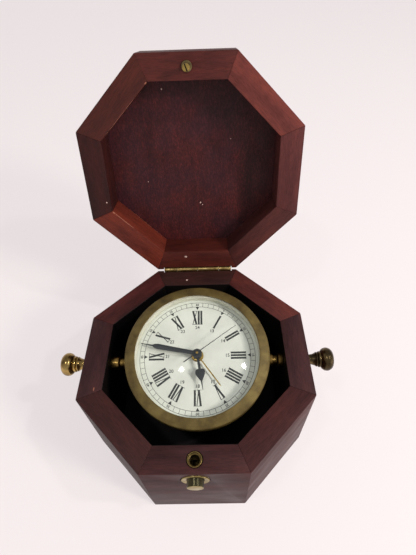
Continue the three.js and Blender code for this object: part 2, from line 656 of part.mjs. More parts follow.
function buildClockHead(root) {
  const head = new THREE.Group();
  head.position.set(CLOCK_X, 0, PIVOT_Z);
  head.rotation.x = TILT;
  root.add(head);
  part(head, 'bezel', bezel(), agedBrass);
  part(head, 'crystal', crystal(), glass);
  part(head, 'clock_drum', drilledDrum(), agedBrass);
  for (const [label, side] of [['left', -1], ['right', 1]]) {
    part(head, `pivot_boss_${label}`, ontoX(pivotBoss(), side), agedBrass);
  }
  const ringFoot = DIAL_TOP + GAP;
  const ringProfile = [[DIAL_RADIUS, ringFoot], [DIAL_RADIUS, DRUM_TOP], [40.8, DRUM_TOP], [40.8, ringFoot]];
  part(head, 'surround_ring', revolve(ringProfile), whiteEnamel);
  const dialProfile = [
    [DIAL_RADIUS, DIAL_TOP - DIAL_THICKNESS], [DIAL_RADIUS, DIAL_TOP], [3.4, DIAL_TOP],
    [3.4, DIAL_TOP - DIAL_THICKNESS],
  ];
  part(head, 'dial', revolve(dialProfile), whiteEnamel);
  const nutProfile = [
    [3.9, ringFoot], [3.9, ringFoot + 0.7], [3.5, ringFoot + 1.2],
    [3.35, ringFoot + 1.2], [3.35, ringFoot],
  ];
  part(head, 'dial_nut', revolve(nutProfile, 16), brightBrass);
  part(head, 'movement', movement(), blackPlastic);
  part(head, 'battery', battery(), batteryLabel);
  part(head, 'back_cover', backCover(), agedBrass);
  COVER_SCREW_ANGLES.forEach((angle, index) => {
    const screw = part(head, `cover_screw_${index + 1}`, coverScrew(), steel);
    screw.position.set(COVER_SCREW_RADIUS * Math.cos(angle), COVER_SCREW_RADIUS * Math.sin(angle), 0);
  });
  part(head, 'time_set_knob', settingKnob(TIME_KNOB), blackPlastic);
  part(head, 'alarm_set_knob', settingKnob(ALARM_KNOB), blackPlastic);
  part(head, 'alarm_switch', alarmSwitch(), whiteEnamel);
  buildHands(head);
}

const deckClock = new THREE.Group();
buildBase(deckClock);
buildLatch(deckClock);
buildHinge(deckClock);
buildLid(deckClock);
buildPivots(deckClock);
buildClockHead(deckClock);

export default deckClock;
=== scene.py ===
"""The ships deck clock, finished: stained mahogany, aged brass, a printed dial and a domed crystal."""

import json
import math

import bpy
from mathutils import Matrix, Vector


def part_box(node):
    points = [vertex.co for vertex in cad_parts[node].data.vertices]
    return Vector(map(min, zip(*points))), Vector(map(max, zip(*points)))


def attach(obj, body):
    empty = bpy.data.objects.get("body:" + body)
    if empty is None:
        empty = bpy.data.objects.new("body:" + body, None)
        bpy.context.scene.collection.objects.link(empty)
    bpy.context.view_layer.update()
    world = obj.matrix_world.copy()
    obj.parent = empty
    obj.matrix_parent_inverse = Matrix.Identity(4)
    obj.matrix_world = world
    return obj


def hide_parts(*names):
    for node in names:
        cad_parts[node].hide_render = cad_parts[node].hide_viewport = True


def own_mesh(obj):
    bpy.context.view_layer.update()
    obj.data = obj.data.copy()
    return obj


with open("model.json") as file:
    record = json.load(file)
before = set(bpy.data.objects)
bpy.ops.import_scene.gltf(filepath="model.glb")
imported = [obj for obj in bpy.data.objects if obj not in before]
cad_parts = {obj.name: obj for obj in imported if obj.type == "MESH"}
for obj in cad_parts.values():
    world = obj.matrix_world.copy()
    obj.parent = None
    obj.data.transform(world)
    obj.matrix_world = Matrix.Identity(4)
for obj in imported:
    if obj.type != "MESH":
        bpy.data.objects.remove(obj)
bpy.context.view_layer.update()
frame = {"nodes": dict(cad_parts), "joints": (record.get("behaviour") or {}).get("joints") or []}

MM = 0.001
X, Y, Z = Vector((1, 0, 0)), Vector((0, 1, 0)), Vector((0, 0, 1))
NODES = frame["nodes"]
JOINTS = {joint["name"]: joint for joint in frame["joints"]}
SIDES = ("right", "back_right", "back", "back_left", "left", "front_left", "front", "front_right")

# The clock head: its centre on the pivot axis, the way the dial faces, and the way to twelve.
FACE = Vector(JOINTS["minute_hand_turn"]["pos_m"])
FACE_OUT = -Vector(JOINTS["minute_hand_turn"]["axis"]).normalized()
FACE_UP = FACE_OUT.cross(X)
PIVOT = Vector(JOINTS["clock_tilt"]["pos_m"])

# The lid, stood open: from the hinge to its far edge, and out of its mating face.
LID_OPEN = math.radians(-JOINTS["lid_hinge"]["range_deg"][0])
LID_ALONG = Vector((0, -math.cos(LID_OPEN), math.sin(LID_OPEN)))
LID_OUT = X.cross(LID_ALONG)
HINGE = Vector(JOINTS["lid_hinge"]["pos_m"])

# Sizes in mm that more than one piece goes by.
WORKING_GAP = 0.3  # left between neighbouring pieces
PANEL_DEPTH = 22.05  # from the lid's mating face to its panel
PIN_DEPTH = 7.8  # from the base's front face to the catch pin's axis
PIN_ENTRY = 2.8  # radius of the way left for the pin's head
BUTTON_TRAVEL = 2.7
DIAL_TOP = 14.1  # printed face of the dial, from the pivot axis along the dial's normal
NUMERAL_RADIUS = 27.5


def axes(x, y, z):
    """The turn whose columns are these three directions."""
    return Matrix((x, y, z)).transposed()


FACE_TURN = axes(X, FACE_UP, FACE_OUT)


# ---------------------------------------------------------------- materials


def colour(code):
    """An sRGB hex value as linear red, green, blue and alpha."""
    channels = [int(code[place : place + 2], 16) / 255 for place in (1, 3, 5)]
    linear = [c / 12.92 if c <= 0.04045 else ((c + 0.055) / 1.055) ** 2.4 for c in channels]
    return (*linear, 1.0)


def add(tree, kind, settings=None, inputs=None, stops=()):
    """Adds a node, sets its properties and its sockets, and links the sockets that are given an output."""
    made = tree.nodes.new(kind)
    for key, value in (settings or {}).items():
        setattr(made, key, value)
    for key, value in (inputs or {}).items():
        if isinstance(value, bpy.types.NodeSocket):
            tree.links.new(value, made.inputs[key])
        else:
            made.inputs[key].default_value = value
    if stops:
        ramp = made.color_ramp
        while len(ramp.elements) < len(stops):
            ramp.elements.new(1.0)
        for element, (position, value) in zip(ramp.elements, stops):
            element.position = position
            element.color = value
    return made


def blank(name, **constants):
    """A new material with constants set on its shader's own sockets."""
    material = bpy.data.materials.new(name)
    material.use_nodes = True
    tree = material.node_tree
    shader = tree.nodes["Principled BSDF"]
    for key, value in constants.items():
        shader.inputs[key.replace("_", " ").title().replace("Ior", "IOR")].default_value = value
    return material, tree, shader


def grey(value):
    return (value, value, value, 1.0)


def blend_colours(tree, factor, low, high, how="MIX"):
    """One colour over another by a factor, as an output."""
    settings = {"data_type": "RGBA", "blend_type": how}
    return add(tree, "ShaderNodeMix", settings, {0: factor, 6: low, 7: high}).outputs[2]


def reckon(tree, operation, *values):
    """A sum, product or test of numbers and outputs, as an output."""
    return add(tree, "ShaderNodeMath", {"operation": operation}, dict(enumerate(values))).outputs[0]


def bump(tree, shader, height, strength, depth_mm):
    inputs = {"Height": height, "Strength": strength, "Distance": depth_mm * MM}
    tree.links.new(add(tree, "ShaderNodeBump", {}, inputs).outputs[0], shader.inputs["Normal"])


def in_own_axes(tree, turn, origin=Vector((0, 0, 0))):
    """Object coordinates seen from a piece's own origin and directions."""
    place = add(tree, "ShaderNodeTexCoord")
    back = turn.transposed()
    inputs = {"Vector": place.outputs["Object"], "Rotation": back.to_euler(), "Location": -(back @ origin)}
    return add(tree, "ShaderNodeMapping", {}, inputs).outputs[0]


def noise(tree, vector, size_mm, detail=3.0, roughness=0.55, shift=0.0):
    """Noise whose features are size_mm along each of the piece's axes."""
    scale = [1 / (size * MM) for size in size_mm]
    inputs = {"Vector": vector, "Scale": scale, "Location": (shift, shift, shift)}
    stretched = add(tree, "ShaderNodeMapping", {}, inputs)
    inputs = {"Vector": stretched.outputs[0], "Scale": 1.0, "Detail": detail, "Roughness": roughness}
    return add(tree, "ShaderNodeTexNoise", {}, inputs).outputs[0]


def ramp(tree, factor, *stops):
    return add(tree, "ShaderNodeValToRGB", {}, {"Fac": factor}, stops).outputs[0]


def chip(tree, own, centre, half_sizes_mm, pores):
    """An oval that is ragged along the pores: where the finish is chipped or scratched, and where an edge
    gets a painted highlight.
    """
    half_length_mm, half_width_mm = half_sizes_mm
    scale = Vector((1 / half_length_mm, 1 / half_width_mm, 1 / half_width_mm)) / MM
    inputs = {"Vector": own, "Scale": scale, "Location": [-c * k for c, k in zip(centre, scale)]}
    apart = add(tree, "ShaderNodeMapping", {}, inputs).outputs[0]
    reach = add(tree, "ShaderNodeVectorMath", {"operation": "LENGTH"}, {0: apart}).outputs["Value"]
    ragged = reckon(tree, "MULTIPLY_ADD", pores, 1.2, reach)
    return reckon(tree, "LESS_THAN", ragged, 1.5)


def mahogany(name, grain, stain, shift, painted_shade_inside=None, marks=(), mottle=0.0):
    """Stained mahogany under worn satin lacquer: dark open pores run along the board, the red stain drifts
    between light and dark, and the lacquer's gloss is uneven. The colour a board is given holds its stain
    and, for some boards, painted light and shade. Marks are chips, scratches and painted highlights, and
    mottle is how strongly a panel's stain breaks up into flecks and dark clouds. Where a threshold is given,
    the faces nearer the middle than it are painted near-black as painted shade inside the box."""
    material, tree, shader = blank(name, specular_ior_level=0.22)
    own = in_own_axes(tree, grain)
    drift = noise(tree, own, (40, 9, 9), 5.0, 0.65, shift)
    drift_tone = ramp(tree, drift, (0.3, (0.62, 0.6, 0.64, 1)), (0.5, grey(1.0)), (0.72, (1.4, 1.3, 1.2, 1)))
    shaded = blend_colours(tree, 1.0, colour(stain), drift_tone, "MULTIPLY")
    pores = noise(tree, own, (5, 0.5, 0.5), 3.0, 0.6, shift)
    pore_shade = ramp(tree, pores, (0.36, grey(0.6)), (0.56, grey(1.0)))
    shaded = blend_colours(tree, 0.75, shaded, pore_shade, "MULTIPLY")
    if mottle:
        patches = noise(tree, own, (34, 26, 26), 3.0, 0.6, shift + 4)
        clouds = ramp(tree, patches, (0.38, grey(0)), (0.68, grey(0.8)))
        shaded = blend_colours(tree, clouds, shaded, colour("#31191f"))
        flecks = noise(tree, own, (2.2, 1.1, 1.1), 4.0, 0.7, shift + 7)
        fleck_tone = ramp(tree, flecks, (0.4, grey(0.72)), (0.52, grey(1.0)), (0.66, (1.75, 1.35, 1.25, 1)))
        shaded = blend_colours(tree, mottle, shaded, fleck_tone, "MULTIPLY")
    for spot, *half_sizes_mm, tint in marks:
        chip_and_highlight = chip(tree, own, grain.transposed() @ spot, half_sizes_mm, pores)
        shaded = blend_colours(tree, chip_and_highlight, shaded, colour(tint))
    # Painted shade: faces nearer the middle than the threshold, the box's inner walls, are coloured
    # near-black for the shade in the box.
    if painted_shade_inside is not None:
        split = add(tree, "ShaderNodeSeparateXYZ", {}, {0: own})
        inside = reckon(tree, "LESS_THAN", split.outputs["Y"], painted_shade_inside)
        shaded = blend_colours(tree, inside, shaded, colour("#0d0909"))
    tree.links.new(shaded, shader.inputs["Base Color"])
    wear = noise(tree, own, (25, 12, 12), 2.0, 0.5, shift + 3)
    gloss = ramp(tree, wear, (0.3, grey(0.45)), (0.7, grey(0.6)))
    tree.links.new(gloss, shader.inputs["Roughness"])
    bump(tree, shader, pores, 0.35, 0.08)
    return material


def turned_brass(name, turn, origin, bright, mid, tarnish, gloss, ring_mm=0.25, metallic=1.0):
    """Lathe-turned brass: fine rings round its axis from the tool, and brown tarnish in patches."""
    material, tree, shader = blank(name, metallic=metallic)
    own = in_own_axes(tree, turn, origin)
    flat = add(tree, "ShaderNodeVectorMath", {"operation": "MULTIPLY"}, {0: own, 1: (1, 1, 0)})
    reach = add(tree, "ShaderNodeVectorMath", {"operation": "LENGTH"}, {0: flat.outputs[0]})
    height = add(tree, "ShaderNodeSeparateXYZ", {}, {0: own})
    rings_at = reckon(tree, "ADD", reach.outputs["Value"], height.outputs["Z"])
    inputs = {"W": rings_at, "Scale": 1 / (ring_mm * MM), "Detail": 2.0}
    rings = add(tree, "ShaderNodeTexNoise", {"noise_dimensions": "1D"}, inputs).outputs[0]
    patches = noise(tree, own, (11, 11, 11), 5.0, 0.62)
    tone = ramp(tree, patches, (0.3, colour(tarnish)), (0.5, colour(mid)), (0.72, colour(bright)))
    ring_shade = ramp(tree, rings, (0.3, grey(0.82)), (0.7, grey(1.0)))
    tree.links.new(blend_colours(tree, 0.8, tone, ring_shade, "MULTIPLY"), shader.inputs["Base Color"])
    polish = ramp(tree, patches, (0.3, grey(min(1, gloss + 0.14))), (0.7, grey(gloss)))
    tree.links.new(polish, shader.inputs["Roughness"])
    bump(tree, shader, rings, 0.25, 0.03)
    return material


def rolled_brass(name, bright, mid, tarnish, gloss):
    """Rolled brass strip and small fittings, lacquered: fine lengthwise scratches and faint tarnish."""
    material, tree, shader = blank(name, metallic=1.0)
    own = in_own_axes(tree, Matrix.Identity(3))
    scratches = noise(tree, own, (6, 0.2, 0.2), 3.0)
    patches = noise(tree, own, (4, 4, 4), 4.0, 0.6)
    tone = ramp(tree, patches, (0.3, colour(tarnish)), (0.5, colour(mid)), (0.7, colour(bright)))
    scratch_shade = ramp(tree, scratches, (0.3, grey(0.85)), (0.6, grey(1.0)))
    tree.links.new(blend_colours(tree, 0.8, tone, scratch_shade, "MULTIPLY"), shader.inputs["Base Color"])
    polish = ramp(tree, patches, (0.3, grey(gloss + 0.15)), (0.7, grey(gloss)))
    tree.links.new(polish, shader.inputs["Roughness"])
    bump(tree, shader, scratches, 0.2, 0.02)
    return material


def plain_finish(name, base, shade, size_mm, grain_mm, roughness, depth_mm, **constants):
    """A painted, moulded or woven finish: two close tones and a fine raised grain."""
    material, tree, shader = blank(name, **constants)
    own = in_own_axes(tree, Matrix.Identity(3))
    tone = ramp(tree, noise(tree, own, (size_mm,) * 3, 3.0), (0.35, colour(shade)), (0.65, colour(base)))
    tree.links.new(tone, shader.inputs["Base Color"])
    fine = noise(tree, own, (grain_mm,) * 3, 3.0)
    worn = ramp(tree, fine, (0.3, grey(roughness)), (0.7, grey(min(1, roughness + 0.1))))
    tree.links.new(worn, shader.inputs["Roughness"])
    bump(tree, shader, fine, 0.3, depth_mm)
    return material


def crystal_glass(name):
    """A clear glass crystal: it shows the dial plainly and answers lamps with a small clean gleam."""
    material, tree, shader = blank(name, metallic=1.0, roughness=0.05)
    shader.inputs["Base Color"].default_value = colour("#ffffff")
    clear = add(tree, "ShaderNodeBsdfTransparent", {}, {"Color": colour("#fefefe")})
    fresnel = add(tree, "ShaderNodeFresnel", {}, {"IOR": 1.5})
    side = add(tree, "ShaderNodeNewGeometry")
    outer = reckon(tree, "SUBTRACT", 1.0, side.outputs["Backfacing"])
    gleam = reckon(tree, "MULTIPLY", fresnel.outputs[0], outer)
    both = add(tree, "ShaderNodeMixShader", {}, {0: gleam, 1: clear.outputs[0], 2: shader.outputs[0]})
    tree.links.new(both.outputs[0], tree.nodes["Material Output"].inputs["Surface"])
    return material


# ---------------------------------------------------------------- shaping


def deselect():
    for thing in bpy.context.selected_objects:
        thing.select_set(False)


def hold(piece):
    """Makes one piece the only selected and active one."""
    deselect()
    piece.select_set(True)
    bpy.context.view_layer.objects.active = piece
    return piece


def settle(piece):
    """Puts a piece's place into its mesh, so its object sits unturned at the origin."""
    hold(piece)
    bpy.ops.object.transform_apply(location=True, rotation=True, scale=True)
    return piece


def close_seams(piece, threshold=1e-6):
    hold(piece)
    bpy.ops.object.mode_set(mode="EDIT")
    bpy.ops.mesh.select_all(action="SELECT")
    bpy.ops.mesh.remove_doubles(threshold=threshold)
    bpy.ops.mesh.normals_make_consistent(inside=False)
    bpy.ops.object.mode_set(mode="OBJECT")
    return piece


def ease_edges(piece, width_mm, segments=2):
    """Rounds a piece's sharp edges, as sanding or a deburring tool does."""
    hold(piece)
    edge = piece.modifiers.new("eased", "BEVEL")
    edge.width = width_mm * MM
    edge.segments = segments
    edge.limit_method = "ANGLE"
    edge.angle_limit = math.radians(32)
    edge.use_clamp_overlap = True
    bpy.ops.object.modifier_apply(modifier=edge.name)
    bpy.ops.object.shade_smooth_by_angle(angle=math.radians(38))
    return piece


def turned(outline, centre, axis, side, steps=96, eased_mm=0.12):
    """Draws an outline of (radius, height) in mm beside an axis and spins it into one closed piece."""
    deselect()
    points = [centre + MM * (radius * side + height * axis) for radius, height in outline]
    if outline[0][0] > 0:
        points.append(points[0])
    bpy.ops.mesh.primitive_plane_add(size=MM, location=points[0])
    piece = bpy.context.object
    bpy.ops.object.mode_set(mode="EDIT")
    bpy.ops.mesh.select_mode(type="VERT")
    bpy.ops.mesh.select_all(action="SELECT")
    bpy.ops.mesh.merge(type="CENTER")
    for before, after in zip(points, points[1:]):
        bpy.ops.mesh.extrude_region_move(TRANSFORM_OT_translate={"value": after - before})
    bpy.ops.mesh.select_all(action="SELECT")
    bpy.ops.mesh.spin(steps=steps, angle=2 * math.pi, center=centre, axis=axis)
    bpy.ops.object.mode_set(mode="OBJECT")
    close_seams(settle(piece))
    return ease_edges(piece, eased_mm) if eased_mm else smooth(piece)


def turned_on_face(outline, steps, eased_mm):
    """A piece turned round the dial's own axis, with heights from the pivot axis."""
    return turned(outline, FACE, FACE_OUT, X, steps, eased_mm)


def smooth(piece, degrees=35):
    hold(piece)
    bpy.ops.object.shade_smooth_by_angle(angle=math.radians(degrees))
    return piece


def arc(centre_radius, centre_height, radius, start, end, steps):
    """Points on a round stretch of a turned outline, in mm and degrees."""
    angles = [math.radians(start + (end - start) * step / steps) for step in range(steps + 1)]
    return [(centre_radius + radius * math.cos(a), centre_height + radius * math.sin(a)) for a in angles]


def block(low, high):
    """A rectangular piece between two corners, in metres."""
    deselect()
    low, high = Vector(low), Vector(high)
    bpy.ops.mesh.primitive_cube_add(size=1, location=(low + high) / 2, scale=high - low)
    return settle(bpy.context.object)


def carve(piece, *cutters):
    """Cuts other solids out of a piece and removes them."""
    for cutter in cutters:
        hold(piece)
        bite = piece.modifiers.new("cut", "BOOLEAN")
        bite.operation = "DIFFERENCE"
        bite.solver = "EXACT"
        bite.object = cutter
        bpy.ops.object.modifier_apply(modifier=bite.name)
        bpy.data.objects.remove(cutter)
    return piece


def merged(node):
    """A copy of a CAD piece with its triangles joined into whole faces."""
    piece = bpy.data.objects.new(node + "_eased", NODES[node].data.copy())
    bpy.context.scene.collection.objects.link(piece)
    close_seams(piece)
    bpy.ops.object.mode_set(mode="EDIT")
    bpy.ops.mesh.select_all(action="SELECT")
    bpy.ops.mesh.dissolve_limited(angle_limit=math.radians(1))
    bpy.ops.object.mode_set(mode="OBJECT")
    return piece


def refined(node, eased_mm, segments=2):
    """A merged copy of a CAD piece with its edges eased."""
    return ease_edges(merged(node), eased_mm, segments)


def board(node, grain, eased_mm):
    """One stave: its edges sanded, and its ends closed up to its neighbours at the mitres."""
    piece = hold(merged(node))
    bpy.ops.object.mode_set(mode="EDIT")
    bpy.ops.mesh.select_mode(type="EDGE")
    bpy.ops.mesh.select_all(action="SELECT")
    bpy.ops.mesh.bevel(offset=eased_mm * MM, segments=3, affect="EDGES", clamp_overlap=True)
    bpy.ops.object.mode_set(mode="OBJECT")
    widened(piece, grain.col[0], 0.155)
    return smooth(piece)


def widened(piece, direction, by_mm):
    """Moves a piece's two ends out along a direction, to close a working gap as glue and pressure do."""
    points = piece.data.vertices
    middle = sum((point.co.dot(direction) for point in points), 0.0) / len(points)
    for point in points:
        point.co += direction * math.copysign(by_mm * MM, point.co.dot(direction) - middle)
    return piece


def fit(piece, name, body, slot, finish, *stands_for):
    """Names a finished piece, gives it its finish and hangs it on its body."""
    piece.name = name
    piece.data.name = name
    piece.data.materials.clear()
    piece.data.materials.append(finish)
    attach(piece, body)
    if stands_for:
        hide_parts(*stands_for)
    return piece


def second_finish(piece, finish, chosen):
    """Gives the faces of a piece that pass a test a finish of their own."""
    piece.data.materials.append(finish)
    for face in piece.data.polygons:
        if chosen(face):
            face.material_index = len(piece.data.materials) - 1


def refinish(node, finish):
    """A better finish on a CAD piece whose shape is right."""
    NODES[node].data.materials.clear()
    NODES[node].data.materials.append(finish)


# ---------------------------------------------------------------- the box


def stave_axes(side, lid):
    """Along the board, out through its face, and up, for one side of the base or of the open lid."""
    turn = math.radians(45 * SIDES.index(side))
    outward = Vector((math.cos(turn), math.sin(turn), 0))
    up = Z
    if lid:
        outward = outward.x * X - outward.y * LID_ALONG
        up = -LID_OUT
    return axes(outward.cross(up), outward, up)


# Each stave was cut from its own board and took the stain differently. Some tones also hold painted light
# and shade: the base's back stave is darker as painted shadow of the open lid, the lid's left stave is
# darker as painted shade, and the lid's right-hand and back-left staves are lighter as painted light from
# the right.
BASE_STAIN_AND_PAINTED_SHADE = {
    # Painted shade: darker for the open lid's shadow on the back of the rim.
    "back": "#331a17",
    "back_left": "#471f1d",
    "left": "#391f20",
    "front_left": "#391d1b",
    "front": "#3e2020",
    "front_right": "#412120",
    "right": "#402425",
    "back_right": "#532723",
}
LID_STAIN_AND_PAINTED_LIGHT_SHADE = {
    "back": "#481c16",
    # Painted light: lighter, as lit by the lamps on the right.
    "back_left": "#5e261b",
    # Painted shade: darker, on the side away from the lamps.
    "left": "#2f1311",
    "front_left": "#421c16",
    "front": "#481f1b",
    # Painted light: the right-hand staves are lighter, facing the lamps.
    "front_right": "#66312b",
    "right": "#532a28",
    "back_right": "#46221f",
}


def lid_point(x_mm, from_hinge_mm, out_mm=0.0):
    """A point on the open lid, from its hinge axis."""
    return x_mm * MM * X + HINGE.y * Y + HINGE.z * Z + MM * (from_hinge_mm * LID_ALONG + out_mm * LID_OUT)


def closed_up(node, face):
    """The floor or lid panel, grown by its working gap all round so that no light shows past it."""
    piece = merged(node)
    points = piece.data.vertices
    middle = sum((point.co for point in points), Vector()) / len(points)
    for point in points:
        apart = point.co - middle
        across = apart - face * apart.dot(face)
        point.co += across.normalized() * WORKING_GAP * MM
    return piece


def rim_point(x_mm, y_mm):
    """A point on the base's rim."""
    return Vector((x_mm * MM, y_mm * MM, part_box("base_stave_back")[1].z))


# A mark is its place, its half length and half width in mm, and its colour.
PALE_WOOD, RAW_WOOD = "#b89c92", "#8a5844"


def base_marks():
    """Chips in the base's rim, by side."""
    return {
        "back": ((rim_point(-7.9, 65.7), 0.85, 0.7, PALE_WOOD),),
        "left": ((rim_point(-65.5, -24.5), 1.3, 0.35, RAW_WOOD),),
        "front_left": ((rim_point(-58.0, -26.0), 1.0, 0.5, RAW_WOOD),),
    }


def lid_marks():
    """Chips in the lid's frame, worn lines along its inner edges and a painted highlight along the
    front-left inner edge, by side.
    """
    return {
        "back": ((lid_point(-8.3, 11.8), 1.15, 0.85, PALE_WOOD),),
        "left": ((lid_point(-63.3, 58.6), 0.6, 0.5, PALE_WOOD),),
        "back_left": (
            (lid_point(-52.5, 43.9), 10.5, 0.38, RAW_WOOD),
            (lid_point(-59.2, 50.6), 1.3, 0.8, RAW_WOOD),
            (lid_point(-42.8, 33.9, -21.9), 25, 0.32, "#7c4733"),
        ),
        "front_left": (
            # Painted highlight: a pale line along the front-left inner edge, where light catches it.
            (lid_point(-42.6, 119.3), 22, 0.3, "#7d5145"),
            (lid_point(-26.0, 135.9), 1.0, 0.7, RAW_WOOD),
        ),
    }


def panel_marks():
    """White specks on the lid's panel."""
    specks = (
        (-19.0, 130.0, 0.7), (4.3, 48.0, 0.8), (5.9, 46.2, 0.5), (-35.0, 66.0, 0.35), (28.0, 96.0, 0.4),
    )
    return [(lid_point(x, along, -PANEL_DEPTH), size, size * 0.7, PALE_WOOD) for x, along, size in specks]


def make_box():
    inner_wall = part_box("base_stave_back")[0].y + WORKING_GAP * MM
    chips_below, chips_above = base_marks(), lid_marks()
    for number, side in enumerate(SIDES):
        grain = stave_axes(side, False)
        marks = chips_below.get(side, ())
        finish = mahogany(f"mahogany_base_{side}", grain, BASE_STAIN_AND_PAINTED_SHADE[side], number * 1.7, inner_wall, marks)
        node = f"base_stave_{side}"
        fit(board(node, grain, 0.4), f"base_board_{side}", "box", "mahogany", finish, node)
        grain = stave_axes(side, True)
        marks = chips_above.get(side, ())
        finish = mahogany(f"mahogany_lid_{side}", grain, LID_STAIN_AND_PAINTED_LIGHT_SHADE[side], number * 2.3 + 11, None, marks)
        node = f"lid_stave_{side}"
        fit(board(node, grain, 0.4), f"lid_board_{side}", "lid", "mahogany", finish, node)

    # Painted shade: the floor's near-black colour stands for the shade at the bottom of the box.
    finish = mahogany("mahogany_floor_painted_shade", axes(Y, -X, Z), "#120a0a", 5.0)
    fit(closed_up("base_floor", Z), "base_floor_board", "box", "panel_mahogany", finish, "base_floor")
    panel_grain = axes(LID_ALONG, -X, LID_OUT)
    finish = mahogany("mahogany_panel", panel_grain, "#3f191a", 2.0, None, panel_marks(), 0.85)
    fit(closed_up("lid_panel", LID_OUT), "lid_panel_board", "lid", "panel_mahogany", finish, "lid_panel")

    felt = plain_finish("wool_felt", "#2b4436", "#1e3328", 6, 0.5, 0.9, 0.2, sheen_weight=0.4)
    refinish("base_felt", felt)


def make_hinge():
    brass = rolled_brass("hinge_strip_brass", "#d6bf84", "#b39a62", "#7f6b40", 0.3)
    for half, body in (("base", "box"), ("lid", "lid")):
        leaf = f"hinge_leaf_{half}"
        fit(refined(leaf, 0.08), f"{leaf}_strip", body, "bright_brass", brass, leaf)
        for hand in ("left", "right"):
            refinish(f"hinge_screw_{half}_{hand}", brass)


def make_steelwork():
    """The plated steel pieces. The latch's spring, which shortens as the button goes in, gets a mesh of its
    own.
    """
    steel = plain_finish("plated_steel", "#a9a9a6", "#8a8a88", 3, 0.2, 0.32, 0.02, metallic=1.0)
    for node in ("hinge_pin", "cover_screw_1", "cover_screw_2", "cover_screw_3"):
        refinish(node, steel)
    coil = refined("latch_spring", 0.2)
    fit(coil, "latch_spring_coil", "box", "steel", steel, "latch_spring")
    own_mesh(coil)


def make_latch():
    low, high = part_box("latch_cup")
    front = Vector(((low.x + high.x) / 2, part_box("base_stave_front")[0].y, (low.z + high.z) / 2))
    turn = axes(Z, X, Y)
    brass = turned_brass("latch_brass", turn, front, "#bcae78", "#a08e5a", "#6c5e38", 0.32, 0.15)
    cup = [
        (8.3, -0.3), (8.3, 1.5), (5.35, 1.5), (5.35, -0.15), (5.5, -0.28), (7.4, -0.52),
        *arc(7.95, -0.28, 0.32, -130, -10, 6),
    ]
    fit(turned(cup, front, Y, X, 96, 0.06), "latch_cup_turned", "box", "bright_brass", brass, "latch_cup")

    barrel = [(0, 15.1), (6.05, 15.1), (6.05, 1.8), (6.7, 1.8), (6.7, 15.9), (0, 15.9)]
    barrel_piece = turned(barrel, front, Y, X, 64, 0)
    pin_line = Vector((front.x, front.y + PIN_DEPTH * MM, front.z))
    entry = [(0, 0.5), (PIN_ENTRY, 0.5), (PIN_ENTRY, 8), (0, 8)]
    carve(barrel_piece, turned(entry, pin_line, Z, X, 48, 0))
    # Painted shade: the latch's barrel and the button's inner end, hidden in the front wall, get dark brass
    # for the shade they sit in.
    works = turned_brass("latch_works_painted_shade", turn, front, "#6a5a36", "#4a3f27", "#2a2417", 0.45, 0.2)
    fit(barrel_piece, "latch_barrel_turned", "box", "bright_brass", works, "latch_barrel")

    button = [
        (0, -4.55), (4.5, -4.55), (4.85, -4.45), (5, -4.15), (5, 1.8), (5.7, 1.8), (5.7, 11.1), (0, 11.1),
    ]
    button_piece = turned(button, front, Y, X, 96, 0.05)
    keyhole = [(0, -2), (PIN_ENTRY, -2), (PIN_ENTRY, 7), (0, 7)]
    keyhole_cutter = turned(keyhole, pin_line - BUTTON_TRAVEL * MM * Y, Z, X, 48, 0)
    slot_low = front + MM * Vector((-1.55, 5.1, 2.0))
    slot_high = front + MM * Vector((1.55, 9.35, 7.0))
    chamber_low = front + MM * Vector((-PIN_ENTRY, 2.3, -0.25))
    chamber_high = front + MM * Vector((PIN_ENTRY, 10.6, 3.15))
    carve(button_piece, keyhole_cutter, block(slot_low, slot_high), block(chamber_low, chamber_high))
    # The button's side gets dark brass, partly tarnish and partly a painted reflection of the dark box
    # around it. Its end face gets the lighter cup brass.
    worn = turned_brass("button_side_brass_tarnish_and_painted_shade", turn, front, "#6f684b", "#4a4532", "#29261b", 0.22, 0.4)
    fit(smooth(button_piece), "latch_button_turned", "push_button", "bright_brass", worn, "latch_button")
    second_finish(button_piece, brass, lambda face: face.center.y < front.y - 4.4 * MM)
    # The button's inner end takes the same painted-shade brass as the barrel.
    second_finish(button_piece, works, lambda face: face.center.y > front.y + 1.9 * MM)

    low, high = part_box("latch_ferrule")
    socket = Vector(((low.x + high.x) / 2, (low.y + high.y) / 2, low.z))
    rise = (high.z - low.z) / MM
    lip = [
        (4.5, 0), (4.5, rise - 0.5), *arc(4.1, rise - 0.4, 0.4, 0, 180, 8),
        (3.65, rise - 1.3), (3.1, rise - 1.6), (3.1, 0),
    ]
    ring = turned(lip, socket, Z, X, 96, 0)
    upright = axes(X, Y, Z)
    aged = turned_brass("ferrule_brass", upright, socket, "#b39a5f", "#8a7548", "#574a2d", 0.32, 0.15)
    fit(ring, "latch_ferrule_turned", "box", "bright_brass", aged, "latch_ferrule")
    # Painted shade: the ferrule's bore is given dark brass for the shade down the hole.
    bore = turned_brass("ferrule_bore_painted_shade", upright, socket, "#4a3d24", "#2e2617", "#1a150d", 0.4, 0.2)
    second_finish(ring, bore, lambda face: face.center.z < high.z - 1.7 * MM)


